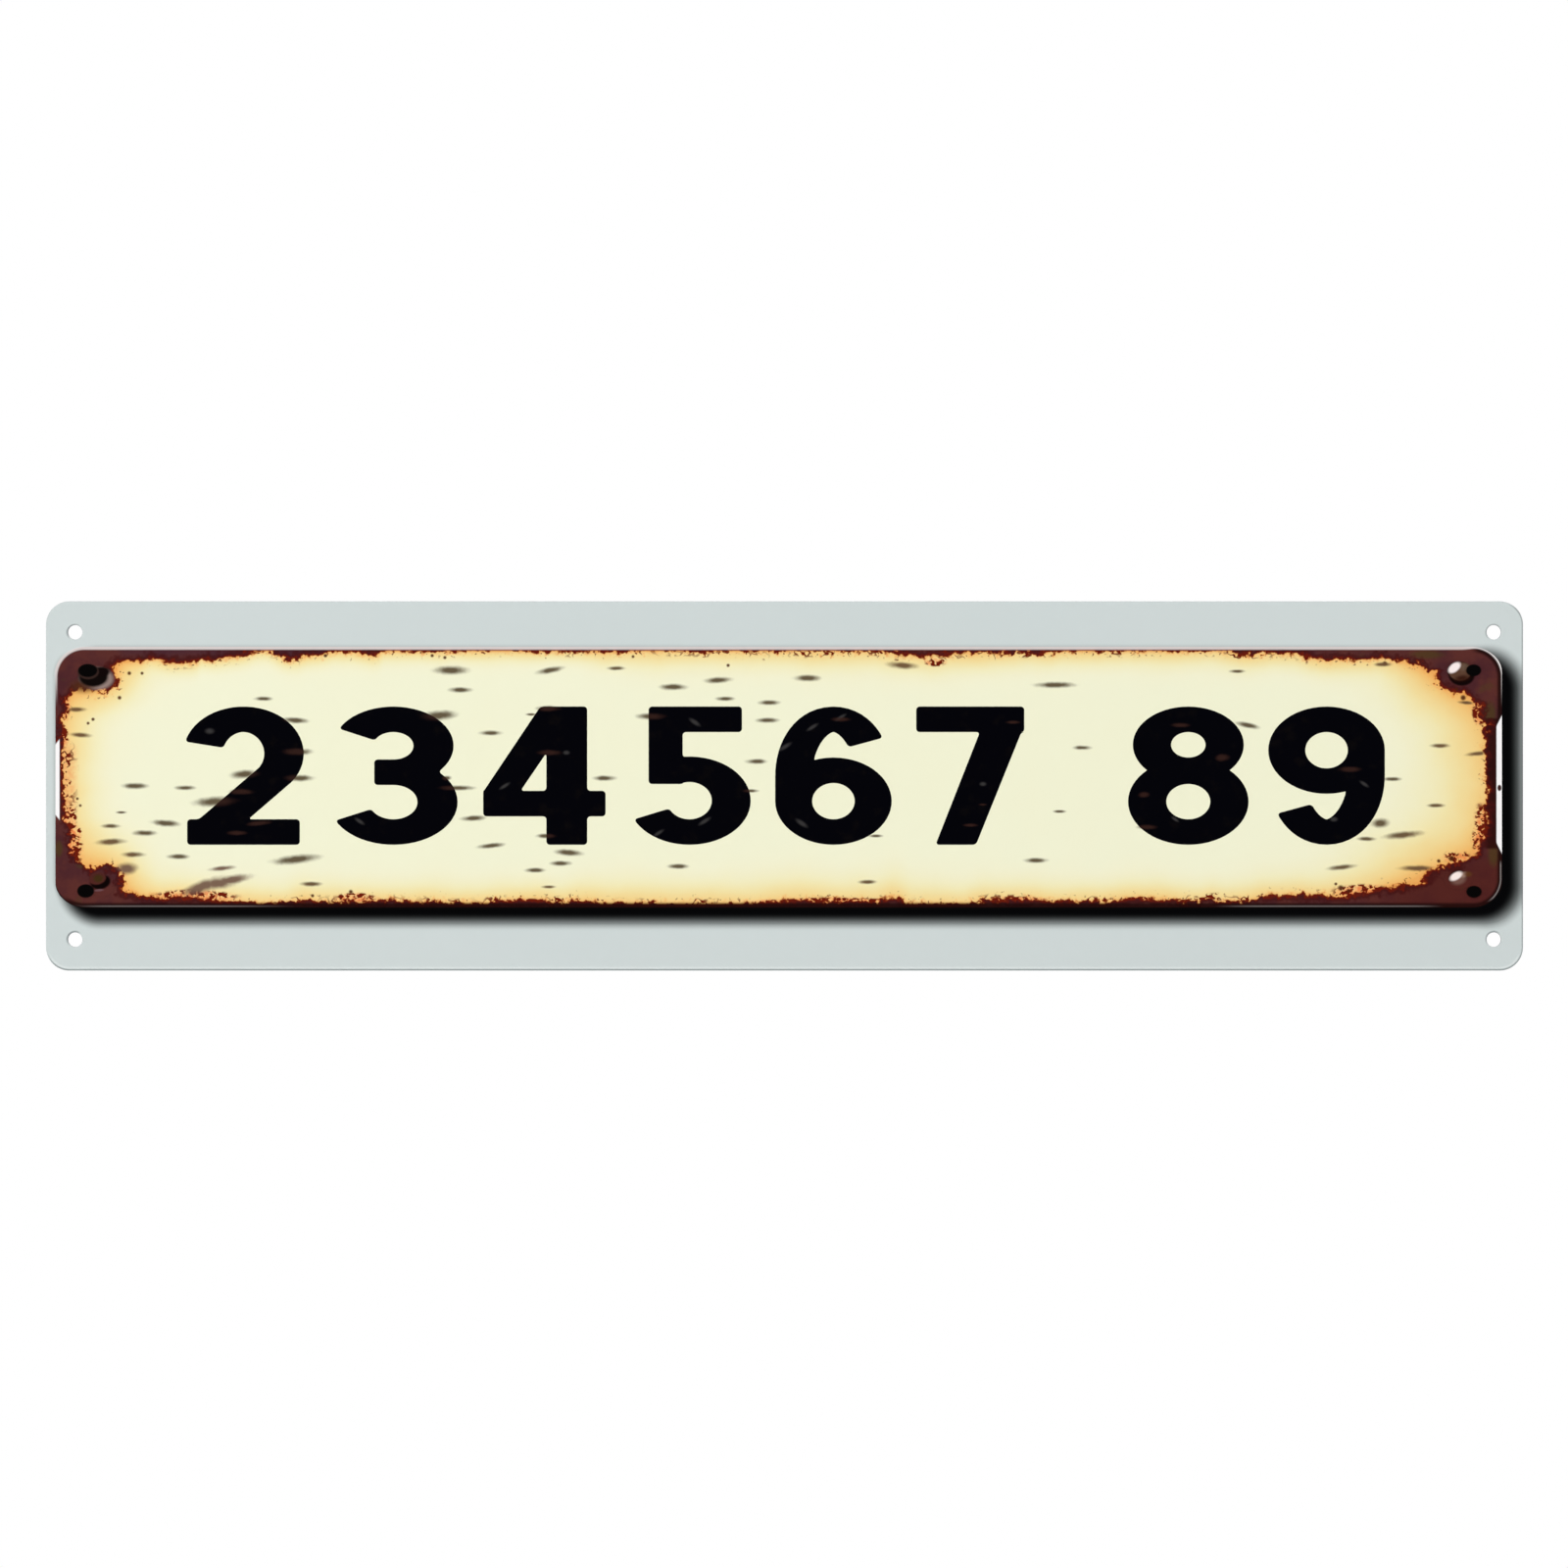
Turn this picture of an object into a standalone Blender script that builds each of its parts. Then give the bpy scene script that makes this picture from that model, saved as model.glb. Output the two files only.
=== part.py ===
"""Street name sign: a flat aluminium sheet with four punched holes, printed with a rusted panel.

Metres, +Z up, +X to the reader's right. The sheet's back lies in the plane y = 0 with its centre at
the origin, and the printed front faces -Y. Each field of print is a film of ink on the front.
"""

import math
from collections import namedtuple

import bmesh
import bpy
from mathutils import Matrix, Vector, noise

# Aluminium sheet
SHEET_WIDTH = 0.4064
SHEET_HEIGHT = 0.1016
SHEET_THICKNESS = 0.001016
SHEET_CORNER_RADIUS = 0.0064
SHEET_EDGE_ROUND = 0.0003

# Punched holes, one near each corner of the sheet
HOLE_DIAMETER = 0.0040
HOLE_SIDE_INSET = 0.0080
HOLE_END_INSET = 0.0085

# Ink
INK_THICKNESS = 0.0001
INK_GAP = 0.0003

# Panel, by its margins to the sheet's edges
PANEL_LEFT_MARGIN = 0.0026
PANEL_RIGHT_MARGIN = 0.0058
PANEL_TOP_MARGIN = 0.0125
PANEL_BOTTOM_MARGIN = 0.0172
PANEL_CORNER_WIDTH = 0.0089
PANEL_CORNER_HEIGHT = 0.0070

# Shadow that the panel throws to the right and down
SHADOW_REACH = 0.0042
SHADOW_CORNER_RADIUS = 0.0085

# Rust along the panel's edges, and how ragged it leaves the paint
RUST_LEFT = 0.0024
RUST_RIGHT = 0.0044
RUST_TOP = 0.0007
RUST_BOTTOM = 0.0013
RUST_RIM = 0.0004
EDGE_RAGGED_DEPTH = 0.0009
CORNER_RAGGED_DEPTH = 0.0018
RAGGED_LENGTH = 0.0060
RAGGED_SMOOTHNESS_SHARE = 0.7
RAGGED_OCTAVE_RATIO = 2
RAGGED_OCTAVES = 4
PAINT_POINT_SPACING = 0.0009
PAINT_STRAIGHTNESS = 0.00002

# Printed rivets and bolt holes in the panel's corners
RIVET_WIDTH = 0.0080
RIVET_HEIGHT = 0.0060
RIVET_RUST_RING = 0.0012
BOLT_WIDTH = 0.0045
BOLT_HEIGHT = 0.0033

# How finely round stretches are divided, and by how much a cutter overruns what it cuts
CORNER_STEPS = 16
ROUND_STEPS = 32
EDGE_SEGMENTS = 2
CUT_OVERRUN = 0.0005
WELD_DISTANCE = 0.000001
BISECTIONS = 30

# The rust that spreads from a corner: how far it reaches along the panel's two edges, how full it is
# between them (1 is a straight cut, 2 an ellipse), and the deeper band that it trails along the panel,
# its depth and its run. The reaches, the depth and the run are shares of the panel's width and height.
CornerRust = namedtuple("CornerRust", "across_share up_share fullness depth_share run_share")
CORNER_RUST_SHARES = {
    ("left", "top"): CornerRust(0.049, 0.205, 2.0, 0.045, 0.140),
    ("right", "top"): CornerRust(0.080, 0.300, 1.1, 0.025, 0.110),
    ("left", "bottom"): CornerRust(0.052, 0.234, 1.9, 0.032, 0.110),
    ("right", "bottom"): CornerRust(0.088, 0.264, 1.2, 0.055, 0.130),
}

# Where a corner's rivet and bolt hole lie, in from the panel's two edges as shares of its height.
Fitting = namedtuple("Fitting", "rivet_side_share rivet_end_share bolt_side_share bolt_end_share")
FITTING_SHARES = {
    ("left", "top"): Fitting(0.157, 0.109, 0.124, 0.087),
    ("right", "top"): Fitting(0.160, 0.090, 0.108, 0.087),
    ("left", "bottom"): Fitting(0.172, 0.085, 0.119, 0.060),
    ("right", "bottom"): Fitting(0.166, 0.112, 0.106, 0.060),
}

GREY_SHEET = ("#CDD5D4", 0.35, 0.6)
SHADOW_INK = ("#060607", 0.5, 0.0)
RUST_INK = ("#5A2A28", 0.5, 0.0)
CREAM_INK = ("#F4EFCB", 0.4, 0.0)
RIVET_INK = ("#8C7A72", 0.4, 0.0)
BOLT_INK = ("#050404", 0.6, 0.0)

UPRIGHT = Matrix(((1, 0, 0, 0), (0, 0, -1, 0), (0, 1, 0, 0), (0, 0, 0, 1)))
QUARTER_TURN = math.pi / 2
SIDES = {"left": -1, "right": 1}
ENDS = {"bottom": -1, "top": 1}
CORNERS = [(side, end) for side in SIDES for end in ENDS]


class Box(namedtuple("Box", "left bottom right top")):
    """An upright rectangle in X and Z."""

    @property
    def width(self):
        return self.right - self.left

    @property
    def height(self):
        return self.top - self.bottom

    @property
    def centre(self):
        return (self.left + self.right) / 2, (self.bottom + self.top) / 2

    def moved(self, across, up):
        return Box(self.left + across, self.bottom + up, self.right + across, self.top + up)

    def grown(self, amount):
        return Box(self.left - amount, self.bottom - amount, self.right + amount, self.top + amount)

    def corner(self, side, end, side_inset=0, end_inset=0):
        """The point at a corner, such as left and top, moved in from the two edges that meet there."""
        return (
            getattr(self, side) - SIDES[side] * side_inset,
            getattr(self, end) - ENDS[end] * end_inset,
        )


SHEET = Box(-SHEET_WIDTH / 2, -SHEET_HEIGHT / 2, SHEET_WIDTH / 2, SHEET_HEIGHT / 2)
PANEL = Box(
    SHEET.left + PANEL_LEFT_MARGIN,
    SHEET.bottom + PANEL_BOTTOM_MARGIN,
    SHEET.right - PANEL_RIGHT_MARGIN,
    SHEET.top - PANEL_TOP_MARGIN,
)


def rivet_centre(side, end):
    fitting = FITTING_SHARES[side, end]
    side_inset = fitting.rivet_side_share * PANEL.height
    end_inset = fitting.rivet_end_share * PANEL.height
    return PANEL.corner(side, end, side_inset, end_inset)


def bolt_centre(side, end):
    fitting = FITTING_SHARES[side, end]
    side_inset = fitting.bolt_side_share * PANEL.height
    end_inset = fitting.bolt_end_share * PANEL.height
    return PANEL.corner(side, end, side_inset, end_inset)


def arc(centre, radius_across, radius_up, start, sweep, steps):
    """Points of an elliptical arc, both of its ends included."""
    angles = [start + sweep * step / steps for step in range(steps + 1)]
    return [
        (centre[0] + radius_across * math.cos(angle), centre[1] + radius_up * math.sin(angle))
        for angle in angles
    ]


def rounded_outline(box, radius_across, radius_up):
    """A box's outline with elliptical corners, anticlockwise from its lower right."""
    turns = [("right", "bottom"), ("right", "top"), ("left", "top"), ("left", "bottom")]
    outline = []
    for turn, (side, end) in enumerate(turns):
        centre = box.corner(side, end, radius_across, radius_up)
        start = (turn - 1) * QUARTER_TURN
        outline += arc(centre, radius_across, radius_up, start, QUARTER_TURN, CORNER_STEPS)
    return outline


def oval_outline(centre, width, height):
    return arc(centre, width / 2, height / 2, 0, math.tau, ROUND_STEPS)[:-1]


def oval_clearance(x, z, centre, width, height):
    """About how far a place lies outside an oval."""
    return math.hypot((x - centre[0]) * height / width, z - centre[1]) - height / 2


def ragged_share(x, z):
    """How far the rust eats into the paint at a place, from about -1 to 1."""
    place = Vector((x, 0, z)) / RAGGED_LENGTH
    return noise.fractal(place, RAGGED_SMOOTHNESS_SHARE, RAGGED_OCTAVE_RATIO, RAGGED_OCTAVES)


def sound_paint_depth(x, z):
    """How far a place on the panel lies inside the sound paint: negative where it has rusted."""
    edge_distance = {
        "left": x - PANEL.left,
        "right": PANEL.right - x,
        "bottom": z - PANEL.bottom,
        "top": PANEL.top - z,
    }
    band = {"left": RUST_LEFT, "right": RUST_RIGHT, "bottom": RUST_BOTTOM, "top": RUST_TOP}
    around_corners = []
    beside_fittings = []
    for (side, end), rust in CORNER_RUST_SHARES.items():
        reach_across = rust.across_share * PANEL.width
        reach_up = rust.up_share * PANEL.height
        across_share = max(edge_distance[side], 0) / reach_across
        up_share = max(edge_distance[end], 0) / reach_up
        full = (across_share**rust.fullness + up_share**rust.fullness) ** (1 / rust.fullness)
        around_corners.append((full - 1) * min(reach_across, reach_up))
        run = edge_distance[side] / (rust.run_share * PANEL.width)
        band[end] += rust.depth_share * PANEL.height * math.exp(-run * run)
        beside_rivet = oval_clearance(x, z, rivet_centre(side, end), RIVET_WIDTH, RIVET_HEIGHT)
        beside_bolt = oval_clearance(x, z, bolt_centre(side, end), BOLT_WIDTH, BOLT_HEIGHT)
        around_corners.append(beside_rivet - RIVET_RUST_RING)
        beside_fittings.append(min(beside_rivet, beside_bolt) - INK_GAP)
    along_edges = [edge_distance[edge] - band[edge] for edge in band]
    ragged = ragged_share(x, z)
    sound_at_edges = min(along_edges) + ragged * EDGE_RAGGED_DEPTH
    sound_at_corners = min(around_corners) + ragged * CORNER_RAGGED_DEPTH
    inside_rim = min(edge_distance.values()) - RUST_RIM
    return min(sound_at_edges, sound_at_corners, inside_rim, *beside_fittings)


def sound_paint_edge(start, direction):
    """The place on a ray from inside the paint where the rust begins."""
    sound, rusted = 0, PANEL.width
    for _ in range(BISECTIONS):
        middle = (sound + rusted) / 2
        x = start[0] + direction[0] * middle
        z = start[1] + direction[1] * middle
        if sound_paint_depth(x, z) > 0:
            sound = middle
        else:
            rusted = middle
    return start[0] + direction[0] * sound, start[1] + direction[1] * sound


def cream_outline():
    """The ragged edge of the paint, met by rays from a line along the middle of the panel.

    The rays stand square to the panel's long edges and fan out at the two ends of the line.
    """
    centre_x, centre_z = PANEL.centre
    half_line = (PANEL.width - PANEL.height) / 2
    line_steps = round(2 * half_line / PAINT_POINT_SPACING)
    fan_steps = round(math.pi * PANEL.height / 2 / PAINT_POINT_SPACING)
    outline = []
    for turn in (1, -1):
        for step in range(line_steps):
            start = (centre_x + turn * half_line * (1 - 2 * step / line_steps), centre_z)
            outline.append(sound_paint_edge(start, (0, turn)))
        for step in range(fan_steps):
            angle = turn * QUARTER_TURN + math.pi * step / fan_steps
            start = (centre_x - turn * half_line, centre_z)
            outline.append(sound_paint_edge(start, (math.cos(angle), math.sin(angle))))
    return without_straight_points(outline)


def without_straight_points(outline):
    """The outline less each point that lies on the straight line between its neighbours."""
    kept = []
    for before, point, after in zip(outline[-1:] + outline, outline, outline[1:] + outline[:1]):
        before = kept[-1] if kept else before
        run_x, run_z = after[0] - before[0], after[1] - before[1]
        off_line = run_x * (point[1] - before[1]) - run_z * (point[0] - before[0])
        if abs(off_line) > PAINT_STRAIGHTNESS * math.hypot(run_x, run_z):
            kept.append(point)
    return kept


def linear_colour(code):
    """A #RRGGBB colour as the linear values that a material holds."""
    shares = [int(code[place : place + 2], 16) / 255 for place in (1, 3, 5)]
    return [share / 12.92 if share <= 0.04045 else ((share + 0.055) / 1.055) ** 2.4 for share in shares]


def finish(name, look):
    """A material with one colour, roughness and metallic value."""
    code, roughness, metallic = look
    material = bpy.data.materials.new(name)
    material.use_nodes = True
    material.diffuse_color = (*linear_colour(code), 1)
    surface = material.node_tree.nodes["Principled BSDF"]
    surface.inputs["Base Color"].default_value = (*linear_colour(code), 1)
    surface.inputs["Roughness"].default_value = roughness
    surface.inputs["Metallic"].default_value = metallic
    return material


def flat_mesh(name, outline, back, thickness):
    """A closed flat mesh from its outline, standing upright with its back at y = -back."""
    curve = bpy.data.curves.new(name, "CURVE")
    curve.dimensions = "2D"
    curve.fill_mode = "NONE"
    curve.extrude = thickness / 2
    spline = curve.splines.new("POLY")
    spline.points.add(len(outline) - 1)
    for point, (x, z) in zip(spline.points, outline, strict=True):
        point.co = (x, z, 0, 1)
    spline.use_cyclic_u = True
    drawn = bpy.data.objects.new(name, curve)
    bpy.context.scene.collection.objects.link(drawn)
    depsgraph = bpy.context.evaluated_depsgraph_get()
    mesh = bpy.data.meshes.new_from_object(drawn.evaluated_get(depsgraph))
    bpy.data.objects.remove(drawn)
    bpy.data.curves.remove(curve)
    mesh.transform(UPRIGHT @ Matrix.Translation((0, 0, back + thickness / 2)))
    # The curve gives the wall. The front and the back are one face each, so that a rim can be rounded.
    closed = bmesh.new()
    closed.from_mesh(mesh)
    bmesh.ops.remove_doubles(closed, verts=closed.verts, dist=WELD_DISTANCE)
    bmesh.ops.holes_fill(closed, edges=closed.edges)
    bmesh.ops.recalc_face_normals(closed, faces=closed.faces)
    closed.to_mesh(mesh)
    closed.free()
    return mesh


def flat_piece(name, outline, back, thickness, group):
    piece = bpy.data.objects.new(name, flat_mesh(name, outline, back, thickness))
    group.objects.link(piece)
    return piece


def ink_field(name, outline, layer, look, group):
    """A film of ink: layer 0 lies on the sheet's front, and layer 1 on layer 0."""
    back = SHEET_THICKNESS + layer * INK_THICKNESS
    field = flat_piece(name, outline, back, INK_THICKNESS, group)
    field.data.materials.append(finish(name + "_ink", look))
    return field


def cut(piece, name, outline, back, thickness, cutters):
    """Cuts an outline right through a piece, whose back and thickness are given."""
    cutter = flat_piece(name, outline, back - CUT_OVERRUN, thickness + 2 * CUT_OVERRUN, cutters)
    cutter.display_type = "WIRE"
    cutter.hide_render = True
    boolean = piece.modifiers.new(name, "BOOLEAN")
    boolean.operation = "DIFFERENCE"
    boolean.solver = "EXACT"
    boolean.object = cutter


def sign_sheet(sign, cutters):
    """The sheet, with a small round on the rim of its outline and of each hole."""
    outline = rounded_outline(SHEET, SHEET_CORNER_RADIUS, SHEET_CORNER_RADIUS)
    sheet = flat_piece("sign_sheet", outline, 0, SHEET_THICKNESS, sign)
    sheet.data.materials.append(finish("coated_aluminium", GREY_SHEET))
    sheet.data.shade_smooth()
    sheet.data.set_sharp_from_angle(angle=QUARTER_TURN / 3)
    for side, end in CORNERS:
        centre = SHEET.corner(side, end, HOLE_SIDE_INSET, HOLE_END_INSET)
        hole = oval_outline(centre, HOLE_DIAMETER, HOLE_DIAMETER)
        cut(sheet, f"hole_punch_{end}_{side}", hole, 0, SHEET_THICKNESS, cutters)
    rounds = sheet.modifiers.new("edge_round", "BEVEL")
    rounds.width = SHEET_EDGE_ROUND
    rounds.segments = EDGE_SEGMENTS
    rounds.limit_method = "ANGLE"
    rounds.angle_limit = QUARTER_TURN / 2


def printed_shadow(sign, cutters):
    """The panel's shadow, of which only the band beyond the panel shows."""
    box = PANEL.moved(SHADOW_REACH, -SHADOW_REACH)
    outline = rounded_outline(box, SHADOW_CORNER_RADIUS, SHADOW_CORNER_RADIUS)
    shadow = ink_field("printed_shadow", outline, 0, SHADOW_INK, sign)
    corner_width = PANEL_CORNER_WIDTH + INK_GAP
    corner_height = PANEL_CORNER_HEIGHT + INK_GAP
    beside_panel = rounded_outline(PANEL.grown(INK_GAP), corner_width, corner_height)
    cut(shadow, "panel_cutter", beside_panel, SHEET_THICKNESS, INK_THICKNESS, cutters)


def rusted_panel(sign):
    outline = rounded_outline(PANEL, PANEL_CORNER_WIDTH, PANEL_CORNER_HEIGHT)
    ink_field("rusted_panel", outline, 0, RUST_INK, sign)


def cream_field(sign):
    ink_field("cream_field", cream_outline(), 1, CREAM_INK, sign)


def printed_fittings(sign, cutters):
    """A rivet head in each corner of the panel, bitten by the bolt hole beside it."""
    back = SHEET_THICKNESS + INK_THICKNESS
    for side, end in CORNERS:
        head = oval_outline(rivet_centre(side, end), RIVET_WIDTH, RIVET_HEIGHT)
        dot = oval_outline(bolt_centre(side, end), BOLT_WIDTH, BOLT_HEIGHT)
        bite_width = BOLT_WIDTH + 2 * INK_GAP
        bite_height = BOLT_HEIGHT + 2 * INK_GAP
        bite = oval_outline(bolt_centre(side, end), bite_width, bite_height)
        rivet = ink_field(f"printed_rivet_{end}_{side}", head, 1, RIVET_INK, sign)
        cut(rivet, f"bite_cutter_{end}_{side}", bite, back, INK_THICKNESS, cutters)
        ink_field(f"printed_bolt_{end}_{side}", dot, 1, BOLT_INK, sign)


def collection(name):
    made = bpy.data.collections.new(name)
    bpy.context.scene.collection.children.link(made)
    return made


def build():
    for old in list(bpy.data.objects):
        bpy.data.objects.remove(old)
    sign = collection("street_name_sign")
    cutters = collection("cutters")
    sign_sheet(sign, cutters)
    printed_shadow(sign, cutters)
    rusted_panel(sign)
    cream_field(sign)
    printed_fittings(sign, cutters)


build()
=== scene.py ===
"""Street name sign: the finishes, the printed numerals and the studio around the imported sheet.

Places on the print are given in pixels of the photograph, across from the left and down from the
top, because the photograph looks straight at the sheet. One pixel is PIXEL metres on the sheet. A
pair of places or depths tells where something fades in, from none to full.
"""

import functools
import math
from collections import namedtuple

import bmesh
import bpy
from mathutils import Euler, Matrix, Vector, geometry


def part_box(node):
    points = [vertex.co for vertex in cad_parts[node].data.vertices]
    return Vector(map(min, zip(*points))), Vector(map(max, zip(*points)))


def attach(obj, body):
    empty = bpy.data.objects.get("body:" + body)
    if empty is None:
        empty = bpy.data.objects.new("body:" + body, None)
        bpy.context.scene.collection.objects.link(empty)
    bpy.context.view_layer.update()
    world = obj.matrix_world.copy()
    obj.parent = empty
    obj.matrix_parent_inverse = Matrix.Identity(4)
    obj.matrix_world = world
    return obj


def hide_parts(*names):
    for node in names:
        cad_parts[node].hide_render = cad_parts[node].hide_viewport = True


MILLIMETRE = 0.001
PIXEL = 0.26967 * MILLIMETRE
PHOTO_SIDE = 1600
MIDDLE_ACROSS = 800.5
MIDDLE_DOWN = 802.0
SHEET_FRONT = -1.016 * MILLIMETRE

# So long that the way through the sheet counts for nothing in a distance
ENDLESS = 1e6

# The printed panel
Field = namedtuple("Field", "left top right bottom")
PANEL = Field(56.5, 661.0, 1532.5, 926.0)
PANEL_CORNER = 29.5
PANEL_ACROSS = (PANEL.left, PANEL.right)
PANEL_DOWN = (PANEL.top, PANEL.bottom)

# The sheet and its four holes
SHEET = Field(47.0, 614.0, 1554.0, 990.0)
SHEET_CORNER = 23.7
HOLES = [(76.5, 645.5), (1524.5, 645.5), (76.5, 958.5), (1524.5, 958.5)]
HOLE_RADIUS = 7.4

# The printed shadow, which is softer beside the panel than below it: it changes over between the
# two places of SHADOW_TURNS. Its edge falls off by the power SHADOW_FALL.
SHADOW = Field(PANEL.left + 8, PANEL.top + 5.5, PANEL.right + 17.6, PANEL.bottom + 13.9)
SHADOW_CORNER = 38.0
SHADOW_SOFT_BELOW = 21.0
SHADOW_SOFT_BESIDE = 28.0
SHADOW_TURNS = (PANEL.right - 30, PANEL.right + 8)
SHADOW_FALL = 2.2
SHADOW_BLACK = "#010102"

# The coating and the bare metal. Between the two depths of FRONT_SKIN the coating ends.
COATING_GREYS = ("#CDD6D5", "#D1D9D8")
COATING_CLOUDS = 400
ROLLED_GREYS = ("#B4B8B9", "#C6CACB")
ROLLED_STRETCH = (0.02, 0.05, 1)
ROLLED_FINENESS = 1.6
CUT_EDGE_GREY = "#8F9595"
FRONT_SKIN = (1.6, 1.3)

# Fine lines of light and dark along an outline: how far from it a line begins and ends, in pixels
# or in sizes of a hole, how strong it is, and its colour
Line = namedtuple("Line", "start end strength colour")
# The sheet's light line is a painted highlight and its dark line is painted shade, both on its
# rounded edge
SHEET_PAINTED_HIGHLIGHT_LINE = Line(1.6, 3.4, 0.55, "#E4EAE9")
SHEET_PAINTED_SHADE_LINE = Line(1.7, 0.6, 0.75, "#7E8686")
# The hole's dark line is painted shade of its wall and rim
HOLE_PAINTED_SHADE_LINE = Line(1.28, 1.06, 0.8, "#7E8587")
BESIDE_PANEL_LINE = Line(4.5, 0.5, 0.5, "#AFB6B4")
ABOVE_PANEL_LINE = Line(1.5, 0.5, 0.55, "#EDE7E8")
RIM_DARK_BAND = Line(6.4, 2.7, 0.9, "#1A0605")
RIM_LIT_LINE = Line(2.9, 0.9, 0.85, "#E6DDDA")
RIM_GREY_LINE = Line(0.5, 2.1, 0.7, "#857F7D")
RIM_BLACK_LINE = Line(0.6, 0.0, 0.9, "#070404")
TURNED_RIM_WHITE = "#F6F0EE"
STRIP_WHITE = "#FBF8F8"
STRIP_DOT = (1530, 804, 4.5, 7)
STRIP_DOT_BROWN = "#3A2020"

# How deep the rust reaches in from each edge of the panel: place along the edge, and depth. It is
# LEAST_RUST at least, and DEEPEST_RUST is the most that a table may hold.
LEAST_RUST = 2.8
LEAST_BOTTOM_RUST = 3.4
DEEPEST_RUST = 32.0
LEFT_RUST = [
    (700, 7.5), (712, 11), (726, 11), (736, 7.5), (795, 7.5), (806, 10), (835, 9.5), (848, 15),
    (862, 17), (878, 17),
]
RIGHT_RUST = [
    (705, 16), (716, 22), (728, 22), (738, 18.5), (790, 18), (800, 16), (840, 16), (852, 19.5),
    (866, 24), (874, 26),
]
TOP_RUST = [
    (118, 16), (127, 13), (142, 15), (153, 9.5), (172, 15.5), (199, 15.5), (206, 10.5), (217, 12.3),
    (231, 10), (252, 7), (261, 3.5), (274, 3.5), (291, 12), (304, 12), (314, 8.5), (326, 8),
    (341, 4), (357, 4.5), (384, 8.5), (391, 3.2), (432, 3.2), (447, 5), (460, 3.2), (515, 3.2),
    (545, 4.2), (590, 3.2), (615, 5.5), (632, 3.2), (646, 3.5), (660, 3.2), (700, 3.2), (730, 3.2),
    (810, 3.2), (828, 4.6), (850, 3.2), (893, 3.2), (910, 6.5), (950, 10), (970, 6), (1035, 5.5),
    (1050, 4.6), (1072, 6), (1085, 3.2), (1235, 3.5), (1255, 5.5), (1272, 7.5), (1305, 5.5),
    (1322, 6), (1335, 10.5), (1350, 12.5), (1400, 12.5), (1407, 9.5), (1427, 12.5), (1440, 16.5),
]
BOTTOM_RUST = [
    (137, 14), (150, 11), (166, 9), (180, 12), (205, 10), (216, 8), (250, 6), (262, 4.6),
    (292, 4.8), (303, 8), (312, 9.5), (322, 6), (345, 5.8), (370, 7), (400, 7.5), (415, 5.5),
    (440, 6), (455, 4.4), (492, 4.8), (508, 6.8), (556, 7.5), (572, 4.8), (588, 7.5), (604, 7.5),
    (618, 4.2), (690, 3.6), (770, 4.2), (800, 7), (880, 7), (893, 5), (908, 10.5), (918, 10),
    (928, 4), (985, 4), (1002, 8), (1062, 9), (1075, 6.5), (1130, 7), (1145, 9), (1188, 9.5),
    (1202, 6.5), (1225, 7), (1236, 10.5), (1248, 7), (1275, 7.5), (1288, 11.5), (1315, 13),
    (1326, 14.5), (1345, 11.5), (1375, 12.5), (1390, 15.5), (1405, 18),
]

# How far the yellow spreads into the paint from the rust of each edge
LEFT_SPREAD = 15
RIGHT_SPREAD = 24.5
TOP_SPREAD = 5.2
BOTTOM_SPREAD = 8.5

# The rust at each corner: how far it reaches in from the side and from the end, how full it is
# between them, how far the yellow spreads from it, and the oval of rust round its rivet (centre,
# length and height)
CornerRust = namedtuple("CornerRust", "side end across along fullness spread ring")
CORNER_RUSTS = [
    CornerRust("left", "top", 88, 58, 1.0, 9, (98.5, 691, 41, 31)),
    CornerRust("right", "top", 112, 80, 0.88, 15, (1488, 686, 50, 42)),
    CornerRust("left", "bottom", 92, 76, 0.85, 12, (104, 903, 44, 42)),
    CornerRust("right", "bottom", 150, 78, 0.8, 18, (1483, 900.5, 66, 38)),
]

# Where rust and orange paint lie mixed in small specks: middle, length and height
SPECKLED = [
    (74, 852, 26, 64), (200, 915, 80, 14), (362, 916, 40, 10), (538, 921, 50, 8), (785, 922, 36, 8),
    (851, 920, 118, 8), (1036, 919, 60, 8), (1162, 919, 34, 8), (1390, 910, 58, 15),
    (1510, 848, 18, 52), (1486, 874, 26, 14), (62, 752, 16, 24), (1510, 727, 16, 24),
    (66, 720, 12, 22), (955, 676, 22, 8),
]

# Olive stains in the rust: middle, length and height
OLIVE_STAINS = [
    (90, 883, 24, 9), (60, 866, 9, 18), (1456, 668, 36, 9), (1520, 728, 14, 26),
    (1524, 872, 12, 26),
]

# The paint as it yellows beside the rust: how far it has yellowed, and its colour
YELLOWING = [
    (0.0, "#F3F3D5"),
    (0.025, "#F4F2D2"),
    (0.055, "#F4F0CC"),
    (0.10, "#F4EEC4"),
    (0.16, "#F4EAB9"),
    (0.23, "#F4E5AC"),
    (0.33, "#F4DE9E"),
    (0.45, "#F4D792"),
    (0.6, "#F4CD83"),
    (0.8, "#F2BA6A"),
    (1.0, "#E89C50"),
]

# How the noise makes the rust's edge: sizes of its waves, and how deep they cut
RAGGED_SIZE = 22
RAGGED_DEPTH = 7
RAGGED_DEPTH_AT_RINGS = 3
TEETH_SIZE = 6.5
TEETH_DEPTH = 13
TEETH_DEEPER_IN_PATCHES = 9
TEETH_DEEPER_AT_SIDES = 7
PATCH_SIZE = 70
YELLOW_CLOUDS = 60
MOTTLE_SIZE = 4
CURL_SIZE = 16
SPECK_SIZE = 5
RUST_CLOUDS = 34
OLIVE_CLOUDS = 23
PIT_SIZE = 4.2
CHIP_UNEVENNESS = 7
WEAR_CLOUDS = 16

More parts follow.
